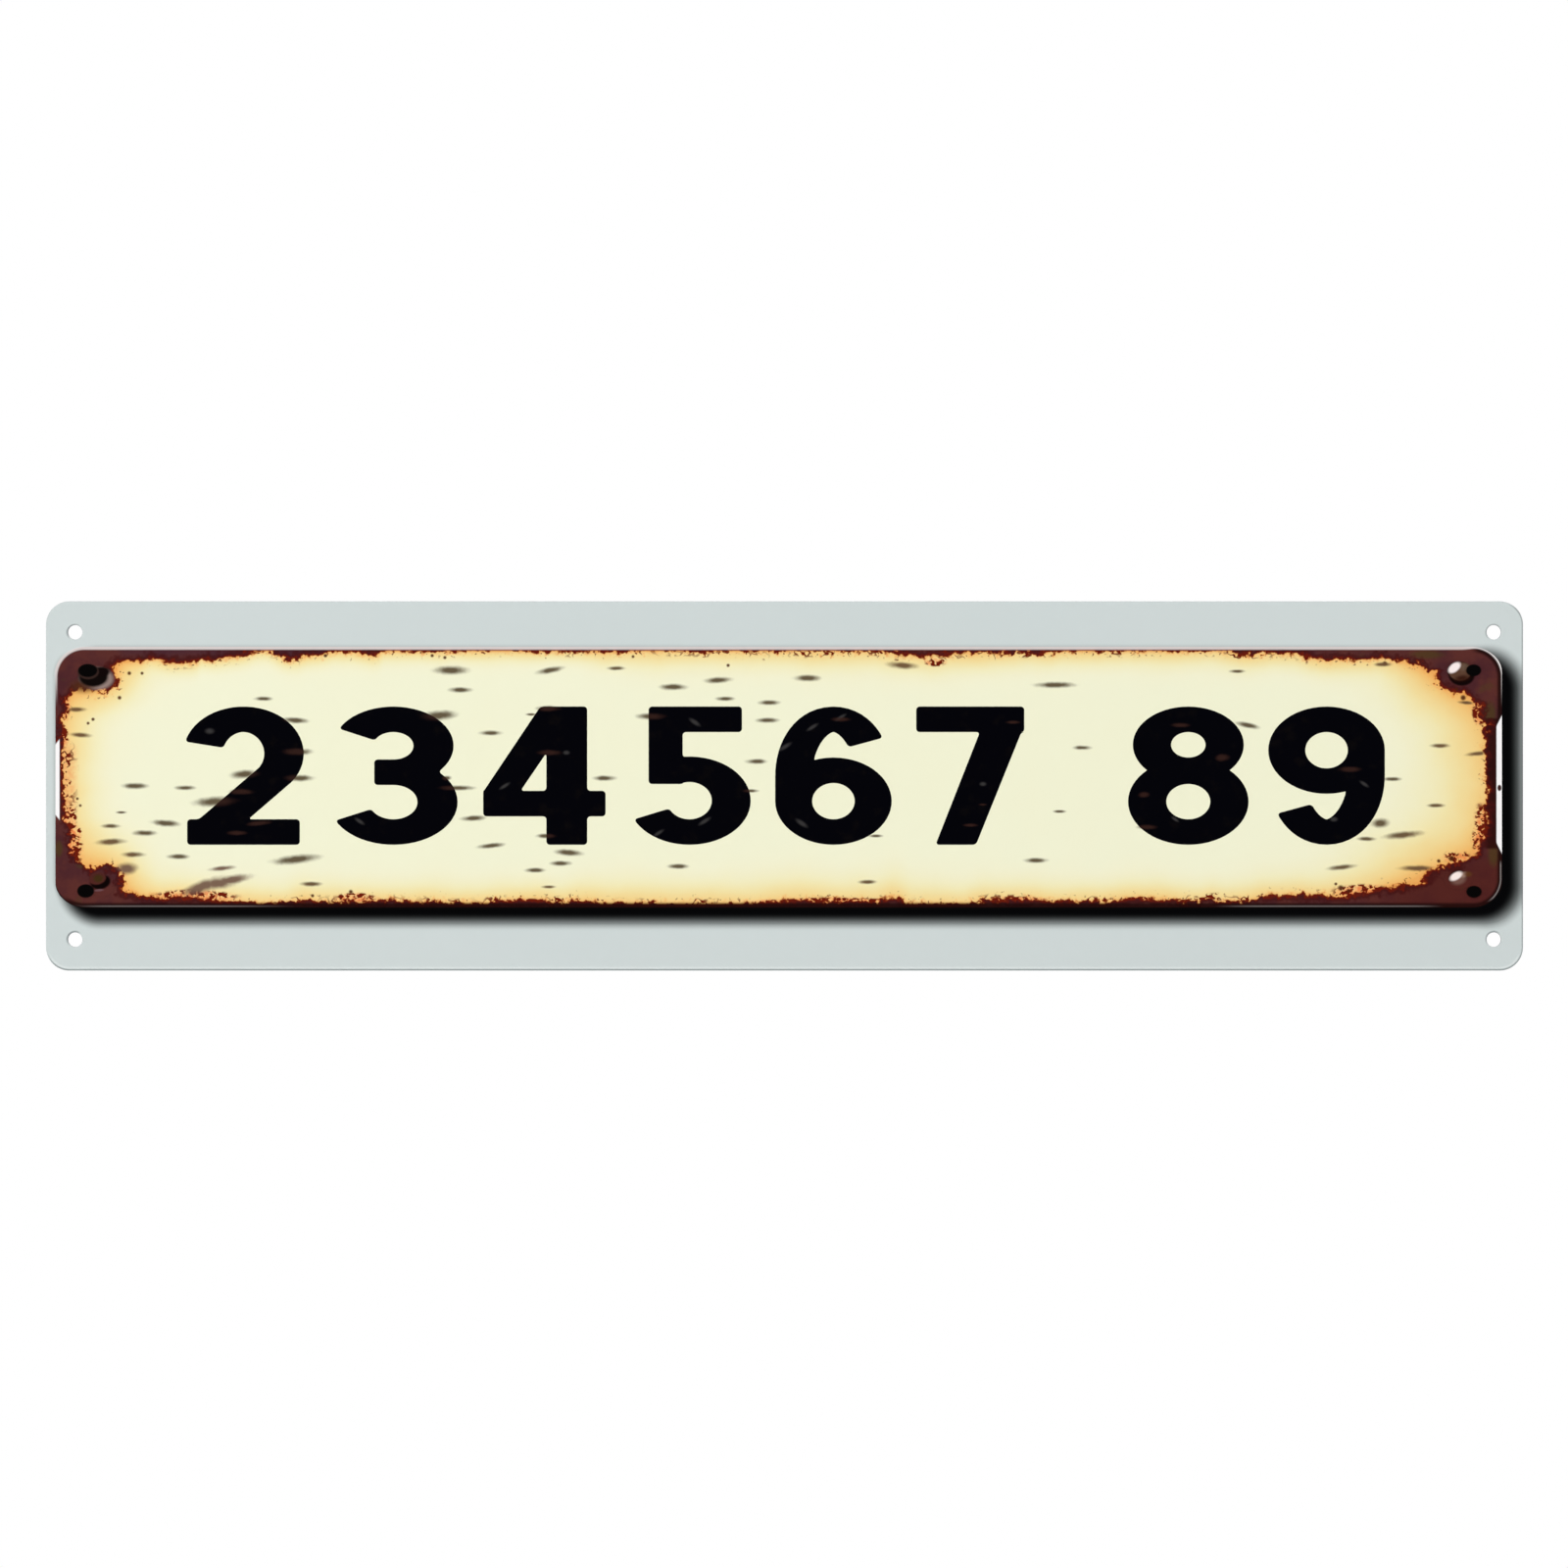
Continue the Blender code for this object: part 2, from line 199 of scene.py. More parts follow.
# The colours of paint and rust
PAINT_NEAR_RUST = "#F0A050"
PAINT_AT_RUST = "#D06C2A"
PAINT_OVER_CURLS = "#F2AC66"
PAINT_AMONG_SPECKS = "#F9B070"
ORANGE_AMONG_SPECKS = "#E6703A"
RUST_BROWNS = ("#4A2428", "#5A2D29")
RUST_LOWER_RIGHT = "#4D1C17"
RUST_UPPER_LEFT = "#442632"
RUST_OLIVE = "#4B3A1C"
RUST_RIGHT_STRIP = "#280806"
RUST_NEAR_PAINT = "#400F10"
RUST_AT_PAINT = "#6A1A0A"
SPOT_BROWN = "#4E1F0E"
CHIP_BROWNS = ("#5A4C36", "#6A4F36")
CHIP_MAUVE = "#74594A"

# The gloss of the inks, and the black ink of the numerals
INK_ROUGHNESS = 0.45
NUMERAL_BLACKS = ("#010105", "#0B0808")
NUMERAL_SCRATCHED = "#454343"
NUMERAL_CHIPPED = "#36211C"

# The printed rivets and bolt holes, in the order that they cover each other, as ovals of one tone:
# centre, length, height, tilt in degrees, colour, how solid it is, and how soft its outline is
Tone = namedtuple("Tone", "across down length height tilt colour solid soft")
FITTING_TONES = [
    Tone(98.5, 692.5, 36, 24, 0, "#97827B", 1.0, 0.25),
    Tone(85.5, 700.0, 30, 15, 0, "#4E2A18", 0.9, 0.8),
    Tone(95.3, 690.6, 32.0, 21, 0, "#0A0403", 1.0, 0.2),
    Tone(104.0, 685.5, 18, 11, 0, "#0C0303", 1.0, 0.35),
    Tone(90.0, 685.4, 22.6, 16.0, 0, "#33231F", 0.9, 0.12),
    Tone(89.6, 684.2, 20.0, 13.6, 0, "#020101", 1.0, 0.12),
    Tone(1491.5, 689.2, 27.5, 22.0, 0, "#0C0202", 1.0, 0.15),
    Tone(1489.0, 684.8, 25.5, 20.5, 0, "#220D0A", 1.0, 0.15),
    Tone(1489.8, 685.0, 23.5, 19.0, 0, "#5B3F30", 1.0, 0.12),
    Tone(1492.0, 692.0, 17, 7, 8, "#2F1006", 0.9, 0.8),
    Tone(1494.0, 681.0, 10, 8, 30, "#6A5546", 0.8, 0.8),
    Tone(1484.0, 681.3, 15.5, 9.0, 38, "#FBEEEB", 1.0, 0.35),
    Tone(1503.6, 684.0, 16.0, 12.6, 0, "#020101", 1.0, 0.14),
    Tone(102.5, 900.0, 22, 15.5, 12, "#080101", 1.0, 0.2),
    Tone(99.3, 896.3, 18.5, 13, 12, "#4E2420", 1.0, 0.2),
    Tone(100.5, 896.5, 11, 9, 0, "#3C2B10", 0.9, 0.6),
    Tone(100.8, 908.4, 11, 2.6, 5, "#6C4C50", 0.9, 0.45),
    Tone(87.5, 909.2, 18, 14.2, 0, "#020101", 1.0, 0.12),
    Tone(1487.0, 894.6, 20, 15.5, 25, "#2A0B09", 0.85, 0.35),
    Tone(1488.0, 897.2, 17, 12, 15, "#745249", 1.0, 0.5),
    Tone(1493.0, 892.6, 9, 6, 20, "#A08272", 0.9, 0.7),
    Tone(1498.0, 892.0, 9, 6, 0, "#5C361B", 0.9, 0.7),
    Tone(1485.6, 894.0, 15.0, 8.0, 30, "#FBEBE5", 1.0, 0.4),
    Tone(1504.0, 910.0, 16.4, 12.8, 0, "#020101", 1.0, 0.14),
]

# Marks where the paint is chipped. The key is their tilt in degrees and how many times longer than
# high they are. Each mark is its middle and its length.
CHIPS = {
    (0, 4.1): [
        (269, 713, 20), (78, 724, 22), (460, 684, 39), (470, 704, 25), (629, 682, 19),
        (687, 701, 29), (740, 713, 20), (785, 717, 23), (824, 692, 29), (1262, 685, 17),
        (1411, 678, 20), (138, 802, 28), (148, 850, 26), (113, 843, 21), (136, 872, 25),
        (182, 874, 24), (318, 902, 23), (246, 808, 26), (572, 881, 23), (546, 888, 22),
        (560, 905, 15), (692, 884, 23), (885, 900, 20), (1057, 878, 24), (1469, 761, 21),
        (1421, 795, 19), (1465, 822, 19), (560, 768, 25), (617, 794, 24), (783, 735, 24),
        (772, 777, 23), (1104, 763, 20), (1081, 828, 14), (124, 829, 12), (242, 850, 21),
        (766, 807, 17), (189, 804, 22), (304, 767, 31), (305, 794, 31), (501, 748, 24),
        (559, 723, 26), (542, 729, 12), (557, 853, 21), (664, 731, 30), (858, 734, 20),
        (894, 853, 15), (990, 842, 15), (1003, 821, 9), (1034, 737, 15), (1205, 740, 20),
        (1170, 844, 22), (1377, 785, 24), (1394, 856, 20),
    ],
    (3, 4.3): [(733, 694, 29), (113, 859, 31), (483, 835, 27), (219, 818, 46)],
    (4, 3.2): [(249, 790, 30), (449, 730, 36)],
    (6, 5.2): [
        (227, 886, 28), (302, 877, 51), (501, 863, 29), (1369, 885, 31), (1432, 852, 42),
        (1508, 769, 26), (264, 840, 27),
    ],
    (10, 4.4): [(561, 684, 30), (235, 898, 46)],
    (4, 3.0): [(222, 901.2, 40)],
    (20, 3.9): [(207, 904.5, 52)],
    (-4, 4.2): [
        (82, 750, 24), (921, 679, 33), (169, 840, 31), (580, 870, 30), (1496, 717, 17),
        (302, 735, 27),
    ],
    (-12, 4.3): [(1273, 740, 26)],
    (0, 6.6): [(1077, 699, 44), (1447, 886, 42), (467, 804, 38)],
    (3, 1.9): [(129, 886.5, 25), (1408, 840, 20), (456, 794, 10), (1247, 773, 15), (1167, 811, 12)],
}

# Pale scratches in the numerals' black, written as the chips are
SCRATCHES = {
    (32, 3.4): [
        (801, 762, 17), (829, 742, 15), (858, 732, 14), (719, 838, 16), (672, 850, 14),
        (515, 802, 14),
    ],
    (-34, 2.8): [(709, 737, 15), (367, 838, 13), (818, 840, 16), (1392, 800, 12), (1199, 836, 10)],
    (0, 1.6): [(214, 746, 11), (578, 768, 8), (1003, 800, 8), (1361, 836, 9)],
}

# Small dark spots in the paint: middle and width
SPOTS = [
    (132, 687, 4.6), (145, 687, 3.8), (122, 712, 4.6), (95, 734, 4.0), (90, 738, 3.6),
    (82, 822, 3.4), (79, 815, 3.4), (83, 700, 3.6), (743, 679, 4.0), (1468, 878.5, 4.4),
    (1481, 876, 7.0), (1486, 703, 3.6), (1493, 712, 6.5), (358, 910, 4.8), (1363, 902, 3.6),
    (1368, 906, 6.5), (1376, 909, 5.0), (319, 914, 4.0), (1413, 677, 5.5), (332, 669, 4.2),
    (441, 669, 4.0), (454, 671, 4.0), (646, 670, 3.6),
]

# The printed numerals: their height and base line, the half size of the oval nib that draws them
# in a box of NUMERAL_WIDTH pixels, and where each begins and ends
NUMERAL_TOP = 721.0
NUMERAL_BASE = 862.0
NUMERAL_HEIGHT = NUMERAL_BASE - NUMERAL_TOP
NUMERAL_WIDTH = 124.0
NIB_ACROSS = 20.0
NIB_UP = 13.0
NUMERAL_SLOTS = [
    ("2", 186, 311),
    ("3", 341, 468),
    ("4", 491, 620),
    ("5", 645, 768),
    ("6", 791, 908),
    ("7", 929, 1051),
    ("8", 1152, 1273),
    ("9", 1296, 1413),
]
NUMERAL_CORNER = 3.5 * PIXEL
NUMERAL_CORNER_STEPS = 4
ARC_STEP = math.radians(6)
SHARP_TURN = math.radians(30)
FLAT_TURN = 0.01
SAME_PLACE = 0.01
SAME_CORNER = 1e-4

# The paint's film is this share thinner than its solid. The numerals are let into it, and this much
# of it lies behind them.
PAINT_THINNED_SHARE = 0.2
PAINT_BEHIND_NUMERALS = 0.00002

# The studio: how strongly the white surrounding lights the sign, the lamps (place, width and
# power), and the floor, which whitens with its distance from the sign
SURROUND_LIGHT = 0.38
LAMPS = {
    "key_lamp": ((-1.1, -1.6, 1.5), 1.2, 32),
    "fill_lamp": ((1.6, -1.4, 0.6), 1.4, 7),
    "back_lamp": ((0.6, 2.0, 1.3), 1.4, 30),
}
FLOOR_LEVEL = -0.35
FLOOR_REACH = 9
FLOOR_WHITENS = (0.45, 0.95)
WHITE = "#FFFFFF"
BLACK = "#000000"
FLOOR_PALE = "#F4F4F4"

# The camera's lens and sensor, in millimetres
LENS = 135
SENSOR = 36


def linear_share(share):
    """One share of an sRGB colour as its linear value."""
    return share / 12.92 if share <= 0.04045 else ((share + 0.055) / 1.055) ** 2.4


def linear_colour(code):
    """A #RRGGBB colour as the linear values that a socket holds."""
    shares = [int(code[place : place + 2], 16) / 255 for place in (1, 3, 5)]
    return (*map(linear_share, shares), 1.0)


class Shade:
    """What a socket gives over a surface, so that a finish is written as sums."""

    def __init__(self, wiring, socket):
        self.wiring = wiring
        self.socket = socket

    def sum(self, operation, *values):
        return self.wiring.node("ShaderNodeMath", {"operation": operation}, dict(enumerate(values)))

    def __add__(self, other):
        return self.sum("ADD", self, other)

    def __sub__(self, other):
        return self.sum("SUBTRACT", self, other)

    def __rsub__(self, other):
        return self.sum("SUBTRACT", other, self)

    def __mul__(self, other):
        return self.sum("MULTIPLY", self, other)

    def __truediv__(self, other):
        return self.sum("DIVIDE", self, other)

    def __pow__(self, other):
        return self.sum("POWER", self, other)

    def __abs__(self):
        return self.sum("ABSOLUTE", self)

    __radd__ = __add__
    __rmul__ = __mul__

    def low(self, other):
        return self.sum("MINIMUM", self, other)

    def high(self, other):
        return self.sum("MAXIMUM", self, other)

    def falling(self, reach):
        """1 at nought, and less by a factor e for each reach that the value goes past it."""
        return self.sum("EXPONENT", (0 - self.high(0)) / reach)

    def eased(self, start, end):
        """0 before start and 1 after end, and smooth between them."""
        sockets = {"Value": self, "From Min": start, "From Max": end}
        return self.wiring.node("ShaderNodeMapRange", {"interpolation_type": "SMOOTHSTEP"}, sockets)

    def between(self, start, end, soft=1.0):
        """1 between two values and 0 outside them."""
        begun = self.eased(start - soft / 2, start + soft / 2)
        return begun * self.eased(end + soft / 2, end - soft / 2)


class Wiring:
    """The nodes of a material or of the world, in the making."""

    def __init__(self, tree):
        self.tree = tree

    def put(self, node, sockets):
        for socket, value in sockets.items():
            target = node.inputs[socket.replace("_", " ") if isinstance(socket, str) else socket]
            if isinstance(value, Shade):
                self.tree.links.new(value.socket, target)
            elif isinstance(value, str):
                target.default_value = linear_colour(value)
            else:
                target.default_value = value

    def node(self, kind, settings, sockets, output=0):
        """A node of any type: its settings go in first, then its sockets' values or links."""
        made = self.tree.nodes.new(kind)
        for setting, value in settings.items():
            if setting == "points":
                curve = made.mapping.curves[0]
                curve.points[0].location = value[0]
                curve.points[1].location = value[-1]
                for place in value[1:-1]:
                    curve.points.new(*place)
                for point in curve.points:
                    point.handle_type = "VECTOR"
                made.mapping.update()
            elif setting == "stops":
                ramp = made.color_ramp.elements
                while len(ramp) < len(value):
                    ramp.new(1.0)
                for stop, (place, colour) in zip(ramp, value, strict=True):
                    stop.position = place
                    stop.color = linear_colour(colour)
            else:
                setattr(made, setting, value)
        self.put(made, sockets)
        return Shade(self, made.outputs[output])

    def mix(self, share, first, second):
        """The first colour, with a share of the second over it."""
        sockets = {0: share, 6: first, 7: second}
        return self.node("ShaderNodeMix", {"data_type": "RGBA"}, sockets, output=2)

    def vector(self, operation, *values, output=0):
        settings = {"operation": operation}
        return self.node("ShaderNodeVectorMath", settings, dict(enumerate(values)), output)

    def noise(self, place, size, detail=3.0, roughness=0.55):
        """Cloudy noise from 0 to 1, whose largest clouds are about this size."""
        sockets = {"Vector": place, "Scale": 1 / size, "Detail": detail, "Roughness": roughness}
        return self.node("ShaderNodeTexNoise", {}, sockets)

    def seen(self):
        """1 for what the camera sees, straight or by way of gloss or glass."""
        rays = ["Is Camera Ray", "Is Glossy Ray", "Is Transmission Ray"]
        found = [self.node("ShaderNodeLightPath", {}, {}, output=ray) for ray in rays]
        return functools.reduce(Shade.high, found)

    def axes(self, place):
        parted = self.node("ShaderNodeSeparateXYZ", {}, {0: place})
        outputs = parted.socket.node.outputs
        return [Shade(self, outputs[axis]) for axis in ("X", "Y", "Z")]


class Finish(Wiring):
    """A material in the making."""

    def __init__(self, name, **surface):
        self.material = bpy.data.materials.new(name)
        self.material.use_nodes = True
        super().__init__(self.material.node_tree)
        self.surface = self.tree.nodes["Principled BSDF"]
        self.put(self.surface, surface)

    def place(self):
        """The place in pixels of the photograph: across, through the sheet, and down."""
        metres = self.node("ShaderNodeTexCoord", {}, {}, output="Object")
        sockets = {
            "Vector": metres,
            "Location": (MIDDLE_ACROSS, 0, MIDDLE_DOWN),
            "Scale": (1 / PIXEL, 1 / PIXEL, -1 / PIXEL),
        }
        return self.node("ShaderNodeMapping", {"vector_type": "POINT"}, sockets)


def outside(finish, place, field, corner):
    """How far a place lies outside a field with round corners. It is right near its outline."""
    middle = ((field.left + field.right) / 2, 0, (field.top + field.bottom) / 2)
    half_width = (field.right - field.left) / 2
    half_height = (field.bottom - field.top) / 2
    straight = (half_width - corner, ENDLESS, half_height - corner)
    off_middle = finish.vector("ABSOLUTE", finish.vector("SUBTRACT", place, middle))
    past = finish.vector("MAXIMUM", finish.vector("SUBTRACT", off_middle, straight), (0, 0, 0))
    return finish.vector("LENGTH", past, output="Value") - corner


def oval(finish, place, across, down, length, height, tilt=0.0):
    """0 at the middle of an oval and 1 on its outline."""
    sockets = {
        "Vector": place,
        "Location": (across, 0, down),
        "Rotation": (0, math.radians(tilt), 0),
        "Scale": (length / 2, ENDLESS, height / 2),
    }
    in_oval = finish.node("ShaderNodeMapping", {"vector_type": "TEXTURE"}, sockets)
    return finish.vector("LENGTH", in_oval, output="Value")


def ruled(finish, colour, line, far, where):
    """A colour with one of the fine lines over it, at its distance from an outline."""
    shown = far.eased(line.start, line.end) * where * line.strength
    return finish.mix(shown, colour, line.colour)


def shadowed_grey(finish, place, across, down):
    """The sheet's pale grey with the printed shadow, which is black beside the panel."""
    far = outside(finish, place, SHADOW, SHADOW_CORNER)
    beside = across.eased(*SHADOW_TURNS)
    soft = beside * (SHADOW_SOFT_BESIDE - SHADOW_SOFT_BELOW) + SHADOW_SOFT_BELOW
    lit = (far / soft + 0.5).eased(0.02, 1.0) ** SHADOW_FALL
    cloudy = finish.noise(place, COATING_CLOUDS, detail=2.0)
    grey = finish.mix(cloudy, *COATING_GREYS)

    # A painted highlight runs inside the sheet's lower edge, and painted shade darkens its outline
    # there and on the right, as light from the upper left would on its rounded edge
    inside = 0 - outside(finish, place, SHEET, SHEET_CORNER)
    shaded_edges = (across - SHEET.right + 30).high(down - SHEET.bottom + 30).eased(12, 26)
    line = SHEET_PAINTED_HIGHLIGHT_LINE
    shown = inside.between(line.start, line.end) * down.eased(970, 980) * line.strength
    grey = finish.mix(shown, grey, line.colour)
    grey = ruled(finish, grey, SHEET_PAINTED_SHADE_LINE, inside, shaded_edges)

    # Each hole has a crescent of painted shade at its upper left, where its wall and rim would be
    # in shade
    for hole_across, hole_down in HOLES:
        far = oval(finish, place, hole_across, hole_down, 2 * HOLE_RADIUS, 2 * HOLE_RADIUS)
        shaded_side = ((across - hole_across) + (down - hole_down)).eased(3, -9)
        grey = ruled(finish, grey, HOLE_PAINTED_SHADE_LINE, far, shaded_side)

    # The sheet is darker at the panel's left edge and lighter at its top edge
    off_panel = outside(finish, place, PANEL, PANEL_CORNER)
    grey = ruled(finish, grey, BESIDE_PANEL_LINE, off_panel, across.eased(70, 58))
    grey = ruled(finish, grey, ABOVE_PANEL_LINE, off_panel, down.eased(700, 680))
    return finish.mix(lit, SHADOW_BLACK, grey)


def lowest(values):
    """The least of some values. Each is asked for in its turn, which keeps few in hand at once."""
    return functools.reduce(Shade.low, values)


def rust_along(finish, along, span, depths):
    """How deep the rust reaches in from an edge, at places along it."""
    start, end = span
    points = [((place - start) / (end - start), depth / DEEPEST_RUST) for place, depth in depths]
    share = (along - start) / (end - start)
    curve = finish.node("ShaderNodeFloatCurve", {"points": points}, {"Value": share})
    return curve * DEEPEST_RUST


def paint_depth(finish, place, across, down, edges):
    """How deep a place lies in the sound paint, past the rust of the edges and corners and past the
    rust round the rivets, and how much yellow all of this rust gives."""
    top_spread = across.eased(560, 680) * 3.3 - across.eased(950, 1050) * 1.2 + TOP_SPREAD
    bottom_spread = across.between(600, 960, 80) * 2.2 + BOTTOM_SPREAD
    at_edges = [
        (edges["left"] - rust_along(finish, down, PANEL_DOWN, LEFT_RUST), LEFT_SPREAD),
        (edges["right"] - rust_along(finish, down, PANEL_DOWN, RIGHT_RUST), RIGHT_SPREAD),
        (edges["top"] - rust_along(finish, across, PANEL_ACROSS, TOP_RUST), top_spread),
        (edges["bottom"] - rust_along(finish, across, PANEL_ACROSS, BOTTOM_RUST), bottom_spread),
    ]
    at_rings = []
    for rust in CORNER_RUSTS:
        side = edges[rust.side].high(0) / rust.across
        end = edges[rust.end].high(0) / rust.along
        full = (side**rust.fullness + end**rust.fullness) ** (1 / rust.fullness)
        at_edges.append(((full - 1) * min(rust.across, rust.along), rust.spread))
        ring_height = rust.ring[3]
        at_rings.append(((oval(finish, place, *rust.ring) - 1) * (ring_height / 2), rust.spread))
    yellow = sum(depth.falling(spread) for depth, spread in at_edges + at_rings)
    past_edges = lowest([depth for depth, _ in at_edges])
    return past_edges, lowest([depth for depth, _ in at_rings]), yellow


def rust_colour(finish, place, across, down, jagged):
    """The rust: clouded browns, olive stains, and darker and redder beside the paint."""
    body = finish.noise(place, RUST_CLOUDS, detail=4.0, roughness=0.6)
    rust = finish.mix(body.eased(0.36, 0.62), *RUST_BROWNS)
    lower_right = across.eased(1370, 1450) * down.eased(850, 890)
    rust = finish.mix(lower_right * 0.6, rust, RUST_LOWER_RIGHT)
    upper_left = down.eased(674, 664) * across.between(125, 335, 20)
    rust = finish.mix(upper_left * 0.6, rust, RUST_UPPER_LEFT)
    stained = lowest([oval(finish, place, *stain) for stain in OLIVE_STAINS]).eased(1.3, 0.4)
    clouded = finish.noise(place, OLIVE_CLOUDS, detail=2.0).eased(0.62, 0.74)
    rust = finish.mix(stained.high(clouded * 0.5) * 0.7, rust, RUST_OLIVE)
    strip = down.between(733, 866, 3)
    rust = finish.mix(strip * across.eased(1511, 1519) * 0.9, rust, RUST_RIGHT_STRIP)
    rust = finish.mix(jagged.eased(-9, -4) * 0.75, rust, RUST_NEAR_PAINT)
    return finish.mix(jagged.eased(-4, -0.5), rust, RUST_AT_PAINT)


def picture(finish, place):
    """The printed panel: cream paint that has chipped, yellowed and rusted from its edges."""
    across, _, down = finish.axes(place)
    edges = {
        "left": across - PANEL.left,
        "right": PANEL.right - across,
        "top": down - PANEL.top,
        "bottom": PANEL.bottom - down,
    }
    rim = 0 - outside(finish, place, PANEL, PANEL_CORNER)

    # How deep a place lies in the paint, with all the teeth of its edge
    at_edges, at_rings, yellow = paint_depth(finish, place, across, down, edges)
    ragged = finish.noise(place, RAGGED_SIZE, detail=2.0) - 0.5
    teeth = finish.noise(place, TEETH_SIZE, detail=2.5, roughness=0.58) - 0.5
    patchy = finish.noise(place, PATCH_SIZE, detail=1.0).eased(0.48, 0.6)
    depth = (at_edges + ragged * RAGGED_DEPTH).low(at_rings + ragged * RAGGED_DEPTH_AT_RINGS)
    speckled = lowest([oval(finish, place, *patch) for patch in SPECKLED]).eased(1.3, 0.5)
    sides = across.eased(96, 66).high(across.eased(1490, 1514))
    lively = patchy * TEETH_DEEPER_IN_PATCHES + sides * TEETH_DEEPER_AT_SIDES + TEETH_DEPTH
    least = (edges["bottom"] - LEAST_BOTTOM_RUST).low(rim - LEAST_RUST)
    jagged = (depth + teeth * lively).low(least)

    cloudy = finish.noise(place, YELLOW_CLOUDS, detail=3.0) - 0.5
    yellowed = 1 - (yellow * (cloudy * 0.9 + 1) + cloudy * 0.03).falling(1.0)
    paint = finish.node("ShaderNodeValToRGB", {"stops": YELLOWING}, {0: yellowed})
    mottled = finish.noise(place, MOTTLE_SIZE, detail=2.0) - 0.5
    paint = finish.mix((jagged + mottled * 9).eased(4.5, -1) * 0.5, paint, PAINT_NEAR_RUST)
    paint = finish.mix(jagged.eased(1.8, 0) * 0.5, paint, PAINT_AT_RUST)

    # On the left the rust creeps under the paint in thin curls
    creeping = across.eased(82, 70) * down.between(762, 872, 16)
    flat_place = finish.vector("MULTIPLY", place, (0.8, 1, 1))
    curly = finish.noise(flat_place, CURL_SIZE, detail=2.0, roughness=0.6)
    curls = abs(curly - 0.5).eased(0.032, 0.014)
    paint = finish.mix(creeping * 0.45, paint, PAINT_OVER_CURLS)
    speckled = speckled * jagged.eased(15, 5)
    paint = finish.mix(speckled * 0.4, paint, PAINT_AMONG_SPECKS)
    orange = speckled.high(creeping * 0.4) * mottled.eased(-0.1, 0.1)
    paint = finish.mix(orange * 0.7, paint, ORANGE_AMONG_SPECKS)
    specks = finish.noise(flat_place, SPECK_SIZE, detail=2.0, roughness=0.6).eased(0.48, 0.54)
    specks = specks * speckled.eased(0, 0.5)

    rust = rust_colour(finish, place, across, down, jagged)
    edge_curls = (depth + patchy * 2).between(0, 6.5, 3) * patchy
    edge_curls = edge_curls * across.between(170, 1400, 40)
    pits = finish.noise(place, PIT_SIZE, detail=1.0).eased(0.63, 0.68) * jagged.eased(9, 2)
    rusted = jagged.eased(0.9, -0.7).high(creeping.high(edge_curls) * curls)
    rusted = rusted.high(pits * 0.9).high(specks)
    colour = finish.mix(rusted, paint, rust)

    colour = finish.mix(spots(finish, place) * 0.95, colour, SPOT_BROWN)
    bare = finish.mix(yellowed.eased(0.0, 0.25), *CHIP_BROWNS)
    bare = finish.mix(down.eased(876, 886) * across.eased(275, 255), bare, CHIP_MAUVE)
    colour = finish.mix(chips(finish, place) * depth.eased(-2, 3), colour, bare)
    for tone in FITTING_TONES:
        far = oval(finish, place, *tone[:5])
        covered = far.eased(1 + tone.soft / 2, 1 - tone.soft) * tone.solid
        colour = finish.mix(covered, colour, tone.colour)
    return lit_rim(finish, place, rim, across, down, colour)


def lit_rim(finish, place, rim, across, down, colour):
    """The fine lines along the panel's outline, and the white strips at its ends."""
    # A dark band lies inside the outline at the bottom and at the right end
    lower_right = (across - 1500).high(down - 912).eased(0, 10)
    colour = ruled(finish, colour, RIM_DARK_BAND, rim, lower_right)

    # The light line above is thinner and whiter where it turns down the right end
    line = RIM_LIT_LINE
    upper = down.eased(724, 682)
    turned = across.eased(1490, 1510)
    lit = finish.mix(turned, line.colour, TURNED_RIM_WHITE)
    shown = (rim + turned * 1.4).eased(line.start, line.end) * upper * line.strength
    colour = finish.mix(shown, colour, lit)

    # The grey line below shows near the ends of the panel and on its lower right corner
    line = RIM_GREY_LINE
    at_left = across.eased(72, 112) * across.eased(310, 215)
    at_ends = at_left.high(across.eased(1235, 1285) * across.eased(1475, 1440))
    lower = at_ends * down.eased(905, 915) * 0.65
    lower = lower.high(across.eased(1508, 1514) * down.between(880, 918, 6))
    shown = rim.between(line.start, line.end, 0.8) * lower * line.strength
    colour = finish.mix(shown, colour, line.colour)
    colour = ruled(finish, colour, RIM_BLACK_LINE, rim, down.eased(895, 915))

    # The white strips have slanted ends, and the right one has a small dot
    from_middle = abs(down - 800.5)
    right = across.eased(1526.4, 1527.6) * (from_middle - (across - 1527) * 2).eased(61, 58)
    from_middle = abs(down - 795.5)
    left = across.eased(61.4, 60.2) * (from_middle + (61 - across) * 1.2).eased(42.5, 40)
    colour = finish.mix(left.high(right), colour, STRIP_WHITE)
    dot = oval(finish, place, *STRIP_DOT)
    return finish.mix(dot.eased(1.1, 0.7), colour, STRIP_DOT_BROWN)


def mark_ovals(finish, place, table):
    """For each mark of a table, 0 at its middle and 1 on its outline."""
    for (tilt, slimness), marks in table.items():
        turn = Euler((0, math.radians(tilt), 0))
        sockets = {"Vector": place, "Rotation": tuple(turn), "Scale": (slimness, ENDLESS, 1)}
        slanted = finish.node("ShaderNodeMapping", {"vector_type": "TEXTURE"}, sockets)
        for across, down, length in marks:
            middle = turn.to_matrix().inverted() @ Vector((across, 0, down))
            middle = (middle.x / slimness, 0, middle.z)
            far = finish.vector("DISTANCE", slanted, middle, output="Value")
            yield far / (length / slimness / 2)


def spots(finish, place):
    """How dark the small spots in the paint are, from 0 to 1."""
    flat_place = finish.vector("MULTIPLY", place, (1, 0, 1))
    far = []
    for across, down, width in SPOTS:
        off_middle = finish.vector("DISTANCE", flat_place, (across, 0, down), output="Value")
        far.append(off_middle / (width / 2))
    return lowest(far).eased(1.2, 0.4)


